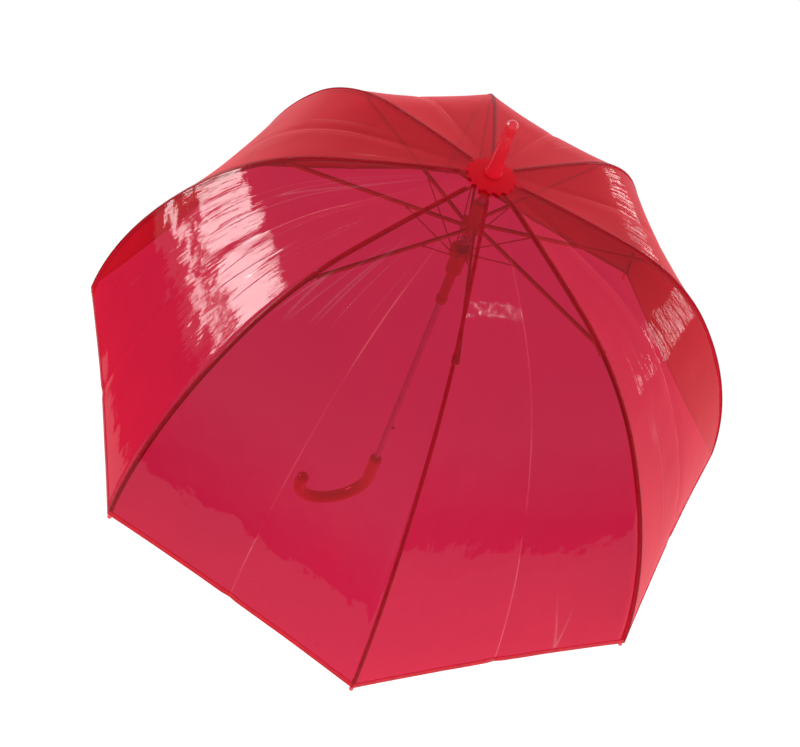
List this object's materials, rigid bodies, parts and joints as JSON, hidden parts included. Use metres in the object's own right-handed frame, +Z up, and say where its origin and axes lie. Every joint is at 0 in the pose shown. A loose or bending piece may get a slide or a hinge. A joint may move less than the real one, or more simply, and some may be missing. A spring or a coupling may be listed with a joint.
{
  "type": "bubble umbrella",
  "caption": "Open dome umbrella with a see-through red film canopy, folding steel ribs on a sliding runner, and a moulded crook handle.",
  "frame": {"origin": "on the shaft's axis, in the middle of the handle's straight grip", "axes": "+Z up the shaft to the ferrule; +X the way the crook opens, away from the shaft"},
  "size_m": [0.785, 0.785, 0.7542],
  "materials": {
    "red_film": "clear glossy film",
    "red_plastic": "translucent gloss",
    "dark_plastic": "satin moulded",
    "red_metal": "gloss paint",
    "shaft_steel": "plated",
    "spring_steel": "drawn wire"
  },
  "bodies": {
    "frame": {"shaft_tube": "shaft_steel", "ferrule": "red_plastic", "handle": "red_plastic", "crown_notch": "dark_plastic", "crown_wire": "shaft_steel", "top_patch": "red_film"},
    "hub": {"runner_hub": "dark_plastic", "hub_wire": "shaft_steel", "opening_spring": "spring_steel"},
    "slider": {"runner_slider": "dark_plastic", "slider_wire": "shaft_steel"},
    "button": {"catch_button": "dark_plastic"},
    "rib_1": {"rib_1": "red_metal", "canopy_panel_1": "red_film"},
    "rib_end_1": {"rib_end_1": "red_metal", "rib_tip_1": "red_plastic"},
    "stretcher_1": {"stretcher_1": "red_metal"},
    "link_1": {"link_1": "red_metal"},
    "rib_2": {"rib_2": "red_metal", "canopy_panel_2": "red_film"},
    "rib_end_2": {"rib_end_2": "red_metal", "rib_tip_2": "red_plastic"},
    "stretcher_2": {"stretcher_2": "red_metal"},
    "link_2": {"link_2": "red_metal"},
    "rib_3": {"rib_3": "red_metal", "canopy_panel_3": "red_film"},
    "rib_end_3": {"rib_end_3": "red_metal", "rib_tip_3": "red_plastic"},
    "stretcher_3": {"stretcher_3": "red_metal"},
    "link_3": {"link_3": "red_metal"},
    "rib_4": {"rib_4": "red_metal", "canopy_panel_4": "red_film"},
    "rib_end_4": {"rib_end_4": "red_metal", "rib_tip_4": "red_plastic"},
    "stretcher_4": {"stretcher_4": "red_metal"},
    "link_4": {"link_4": "red_metal"},
    "rib_5": {"rib_5": "red_metal", "canopy_panel_5": "red_film"},
    "rib_end_5": {"rib_end_5": "red_metal", "rib_tip_5": "red_plastic"},
    "stretcher_5": {"stretcher_5": "red_metal"},
    "link_5": {"link_5": "red_metal"},
    "rib_6": {"rib_6": "red_metal", "canopy_panel_6": "red_film"},
    "rib_end_6": {"rib_end_6": "red_metal", "rib_tip_6": "red_plastic"},
    "stretcher_6": {"stretcher_6": "red_metal"},
    "link_6": {"link_6": "red_metal"},
    "rib_7": {"rib_7": "red_metal", "canopy_panel_7": "red_film"},
    "rib_end_7": {"rib_end_7": "red_metal", "rib_tip_7": "red_plastic"},
    "stretcher_7": {"stretcher_7": "red_metal"},
    "link_7": {"link_7": "red_metal"},
    "rib_8": {"rib_8": "red_metal", "canopy_panel_8": "red_film"},
    "rib_end_8": {"rib_end_8": "red_metal", "rib_tip_8": "red_plastic"},
    "stretcher_8": {"stretcher_8": "red_metal"},
    "link_8": {"link_8": "red_metal"}
  },
  "joints": [
    {"name": "runner_slide", "type": "slide", "parent": "frame", "child": "hub", "axis": [0, 0, 1], "range_m": [-0.33357, 0], "stiffness_N_per_m": 60, "springref_m": 0.3},
    {"name": "slider_slide", "type": "slide", "parent": "hub", "child": "slider", "axis": [0, 0, 1], "range_m": [0, 0.0266], "deforming": ["opening_spring"]},
    {"name": "button_slide", "type": "slide", "parent": "frame", "child": "button", "axis": [1, 0, 0], "range_m": [0, 0.005], "stiffness_N_per_m": 400, "springref_m": -0.002},
    {"name": "rib_hinge_1", "type": "hinge", "parent": "frame", "child": "rib_1", "pos_m": [0.00831, 0.00344, 0.59], "axis": [-0.3827, 0.9239, 0], "range_deg": [0, 72.37], "deforming": ["canopy_panel_1"]},
    {"name": "rib_end_hinge_1", "type": "hinge", "parent": "rib_1", "child": "rib_end_1", "pos_m": [0.19091, 0.07908, 0.53664], "axis": [-0.3827, 0.9239, 0], "range_deg": [-43.02, 0]},
    {"name": "stretcher_hinge_1", "type": "hinge", "parent": "hub", "child": "stretcher_1", "pos_m": [0.00831, 0.00344, 0.521], "axis": [-0.3827, 0.9239, 0], "range_deg": [-82.87, 0]},
    {"name": "link_hinge_1", "type": "hinge", "parent": "slider", "child": "link_1", "pos_m": [0.0085, 0.00352, 0.48], "axis": [-0.3827, 0.9239, 0], "range_deg": [-52.48, 0]},
    {"name": "rib_hinge_2", "type": "hinge", "parent": "frame", "child": "rib_2", "pos_m": [0.00344, 0.00831, 0.59], "axis": [-0.9239, 0.3827, 0], "range_deg": [0, 72.37], "deforming": ["canopy_panel_2"]},
    {"name": "rib_end_hinge_2", "type": "hinge", "parent": "rib_2", "child": "rib_end_2", "pos_m": [0.07908, 0.19091, 0.53664], "axis": [-0.9239, 0.3827, 0], "range_deg": [-43.02, 0]},
    {"name": "stretcher_hinge_2", "type": "hinge", "parent": "hub", "child": "stretcher_2", "pos_m": [0.00344, 0.00831, 0.521], "axis": [-0.9239, 0.3827, 0], "range_deg": [-82.87, 0]},
    {"name": "link_hinge_2", "type": "hinge", "parent": "slider", "child": "link_2", "pos_m": [0.00352, 0.0085, 0.48], "axis": [-0.9239, 0.3827, 0], "range_deg": [-52.48, 0]},
    {"name": "rib_hinge_3", "type": "hinge", "parent": "frame", "child": "rib_3", "pos_m": [-0.00344, 0.00831, 0.59], "axis": [-0.9239, -0.3827, 0], "range_deg": [0, 72.37], "deforming": ["canopy_panel_3"]},
    {"name": "rib_end_hinge_3", "type": "hinge", "parent": "rib_3", "child": "rib_end_3", "pos_m": [-0.07908, 0.19091, 0.53664], "axis": [-0.9239, -0.3827, 0], "range_deg": [-43.02, 0]},
    {"name": "stretcher_hinge_3", "type": "hinge", "parent": "hub", "child": "stretcher_3", "pos_m": [-0.00344, 0.00831, 0.521], "axis": [-0.9239, -0.3827, 0], "range_deg": [-82.87, 0]},
    {"name": "link_hinge_3", "type": "hinge", "parent": "slider", "child": "link_3", "pos_m": [-0.00352, 0.0085, 0.48], "axis": [-0.9239, -0.3827, 0], "range_deg": [-52.48, 0]},
    {"name": "rib_hinge_4", "type": "hinge", "parent": "frame", "child": "rib_4", "pos_m": [-0.00831, 0.00344, 0.59], "axis": [-0.3827, -0.9239, 0], "range_deg": [0, 72.37], "deforming": ["canopy_panel_4"]},
    {"name": "rib_end_hinge_4", "type": "hinge", "parent": "rib_4", "child": "rib_end_4", "pos_m": [-0.19091, 0.07908, 0.53664], "axis": [-0.3827, -0.9239, 0], "range_deg": [-43.02, 0]},
    {"name": "stretcher_hinge_4", "type": "hinge", "parent": "hub", "child": "stretcher_4", "pos_m": [-0.00831, 0.00344, 0.521], "axis": [-0.3827, -0.9239, 0], "range_deg": [-82.87, 0]},
    {"name": "link_hinge_4", "type": "hinge", "parent": "slider", "child": "link_4", "pos_m": [-0.0085, 0.00352, 0.48], "axis": [-0.3827, -0.9239, 0], "range_deg": [-52.48, 0]},
    {"name": "rib_hinge_5", "type": "hinge", "parent": "frame", "child": "rib_5", "pos_m": [-0.00831, -0.00344, 0.59], "axis": [0.3827, -0.9239, 0], "range_deg": [0, 72.37], "deforming": ["canopy_panel_5"]},
    {"name": "rib_end_hinge_5", "type": "hinge", "parent": "rib_5", "child": "rib_end_5", "pos_m": [-0.19091, -0.07908, 0.53664], "axis": [0.3827, -0.9239, 0], "range_deg": [-43.02, 0]},
    {"name": "stretcher_hinge_5", "type": "hinge", "parent": "hub", "child": "stretcher_5", "pos_m": [-0.00831, -0.00344, 0.521], "axis": [0.3827, -0.9239, 0], "range_deg": [-82.87, 0]},
    {"name": "link_hinge_5", "type": "hinge", "parent": "slider", "child": "link_5", "pos_m": [-0.0085, -0.00352, 0.48], "axis": [0.3827, -0.9239, 0], "range_deg": [-52.48, 0]},
    {"name": "rib_hinge_6", "type": "hinge", "parent": "frame", "child": "rib_6", "pos_m": [-0.00344, -0.00831, 0.59], "axis": [0.9239, -0.3827, 0], "range_deg": [0, 72.37], "deforming": ["canopy_panel_6"]},
    {"name": "rib_end_hinge_6", "type": "hinge", "parent": "rib_6", "child": "rib_end_6", "pos_m": [-0.07908, -0.19091, 0.53664], "axis": [0.9239, -0.3827, 0], "range_deg": [-43.02, 0]},
    {"name": "stretcher_hinge_6", "type": "hinge", "parent": "hub", "child": "stretcher_6", "pos_m": [-0.00344, -0.00831, 0.521], "axis": [0.9239, -0.3827, 0], "range_deg": [-82.87, 0]},
    {"name": "link_hinge_6", "type": "hinge", "parent": "slider", "child": "link_6", "pos_m": [-0.00352, -0.0085, 0.48], "axis": [0.9239, -0.3827, 0], "range_deg": [-52.48, 0]},
    {"name": "rib_hinge_7", "type": "hinge", "parent": "frame", "child": "rib_7", "pos_m": [0.00344, -0.00831, 0.59], "axis": [0.9239, 0.3827, 0], "range_deg": [0, 72.37], "deforming": ["canopy_panel_7"]},
    {"name": "rib_end_hinge_7", "type": "hinge", "parent": "rib_7", "child": "rib_end_7", "pos_m": [0.07908, -0.19091, 0.53664], "axis": [0.9239, 0.3827, 0], "range_deg": [-43.02, 0]},
    {"name": "stretcher_hinge_7", "type": "hinge", "parent": "hub", "child": "stretcher_7", "pos_m": [0.00344, -0.00831, 0.521], "axis": [0.9239, 0.3827, 0], "range_deg": [-82.87, 0]},
    {"name": "link_hinge_7", "type": "hinge", "parent": "slider", "child": "link_7", "pos_m": [0.00352, -0.0085, 0.48], "axis": [0.9239, 0.3827, 0], "range_deg": [-52.48, 0]},
    {"name": "rib_hinge_8", "type": "hinge", "parent": "frame", "child": "rib_8", "pos_m": [0.00831, -0.00344, 0.59], "axis": [0.3827, 0.9239, 0], "range_deg": [0, 72.37], "deforming": ["canopy_panel_8"]},
    {"name": "rib_end_hinge_8", "type": "hinge", "parent": "rib_8", "child": "rib_end_8", "pos_m": [0.19091, -0.07908, 0.53664], "axis": [0.3827, 0.9239, 0], "range_deg": [-43.02, 0]},
    {"name": "stretcher_hinge_8", "type": "hinge", "parent": "hub", "child": "stretcher_8", "pos_m": [0.00831, -0.00344, 0.521], "axis": [0.3827, 0.9239, 0], "range_deg": [-82.87, 0]},
    {"name": "link_hinge_8", "type": "hinge", "parent": "slider", "child": "link_8", "pos_m": [0.0085, -0.00352, 0.48], "axis": [0.3827, 0.9239, 0], "range_deg": [-52.48, 0]}
  ],
  "couplings": [
    {"joint": "slider_slide", "follows": "runner_slide", "ratio": -0.079753},
    {"joint": "rib_hinge_1", "follows": "runner_slide", "rad_per_m": -3.7867},
    {"joint": "rib_end_hinge_1", "follows": "runner_slide", "rad_per_m": 2.2511},
    {"joint": "stretcher_hinge_1", "follows": "runner_slide", "rad_per_m": 4.336},
    {"joint": "link_hinge_1", "follows": "runner_slide", "rad_per_m": 2.746},
    {"joint": "rib_hinge_2", "follows": "runner_slide", "rad_per_m": -3.7867},
    {"joint": "rib_end_hinge_2", "follows": "runner_slide", "rad_per_m": 2.2511},
    {"joint": "stretcher_hinge_2", "follows": "runner_slide", "rad_per_m": 4.336},
    {"joint": "link_hinge_2", "follows": "runner_slide", "rad_per_m": 2.746},
    {"joint": "rib_hinge_3", "follows": "runner_slide", "rad_per_m": -3.7867},
    {"joint": "rib_end_hinge_3", "follows": "runner_slide", "rad_per_m": 2.2511},
    {"joint": "stretcher_hinge_3", "follows": "runner_slide", "rad_per_m": 4.336},
    {"joint": "link_hinge_3", "follows": "runner_slide", "rad_per_m": 2.746},
    {"joint": "rib_hinge_4", "follows": "runner_slide", "rad_per_m": -3.7867},
    {"joint": "rib_end_hinge_4", "follows": "runner_slide", "rad_per_m": 2.2511},
    {"joint": "stretcher_hinge_4", "follows": "runner_slide", "rad_per_m": 4.336},
    {"joint": "link_hinge_4", "follows": "runner_slide", "rad_per_m": 2.746},
    {"joint": "rib_hinge_5", "follows": "runner_slide", "rad_per_m": -3.7867},
    {"joint": "rib_end_hinge_5", "follows": "runner_slide", "rad_per_m": 2.2511},
    {"joint": "stretcher_hinge_5", "follows": "runner_slide", "rad_per_m": 4.336},
    {"joint": "link_hinge_5", "follows": "runner_slide", "rad_per_m": 2.746},
    {"joint": "rib_hinge_6", "follows": "runner_slide", "rad_per_m": -3.7867},
    {"joint": "rib_end_hinge_6", "follows": "runner_slide", "rad_per_m": 2.2511},
    {"joint": "stretcher_hinge_6", "follows": "runner_slide", "rad_per_m": 4.336},
    {"joint": "link_hinge_6", "follows": "runner_slide", "rad_per_m": 2.746},
    {"joint": "rib_hinge_7", "follows": "runner_slide", "rad_per_m": -3.7867},
    {"joint": "rib_end_hinge_7", "follows": "runner_slide", "rad_per_m": 2.2511},
    {"joint": "stretcher_hinge_7", "follows": "runner_slide", "rad_per_m": 4.336},
    {"joint": "link_hinge_7", "follows": "runner_slide", "rad_per_m": 2.746},
    {"joint": "rib_hinge_8", "follows": "runner_slide", "rad_per_m": -3.7867},
    {"joint": "rib_end_hinge_8", "follows": "runner_slide", "rad_per_m": 2.2511},
    {"joint": "stretcher_hinge_8", "follows": "runner_slide", "rad_per_m": 4.336},
    {"joint": "link_hinge_8", "follows": "runner_slide", "rad_per_m": 2.746}
  ]
}
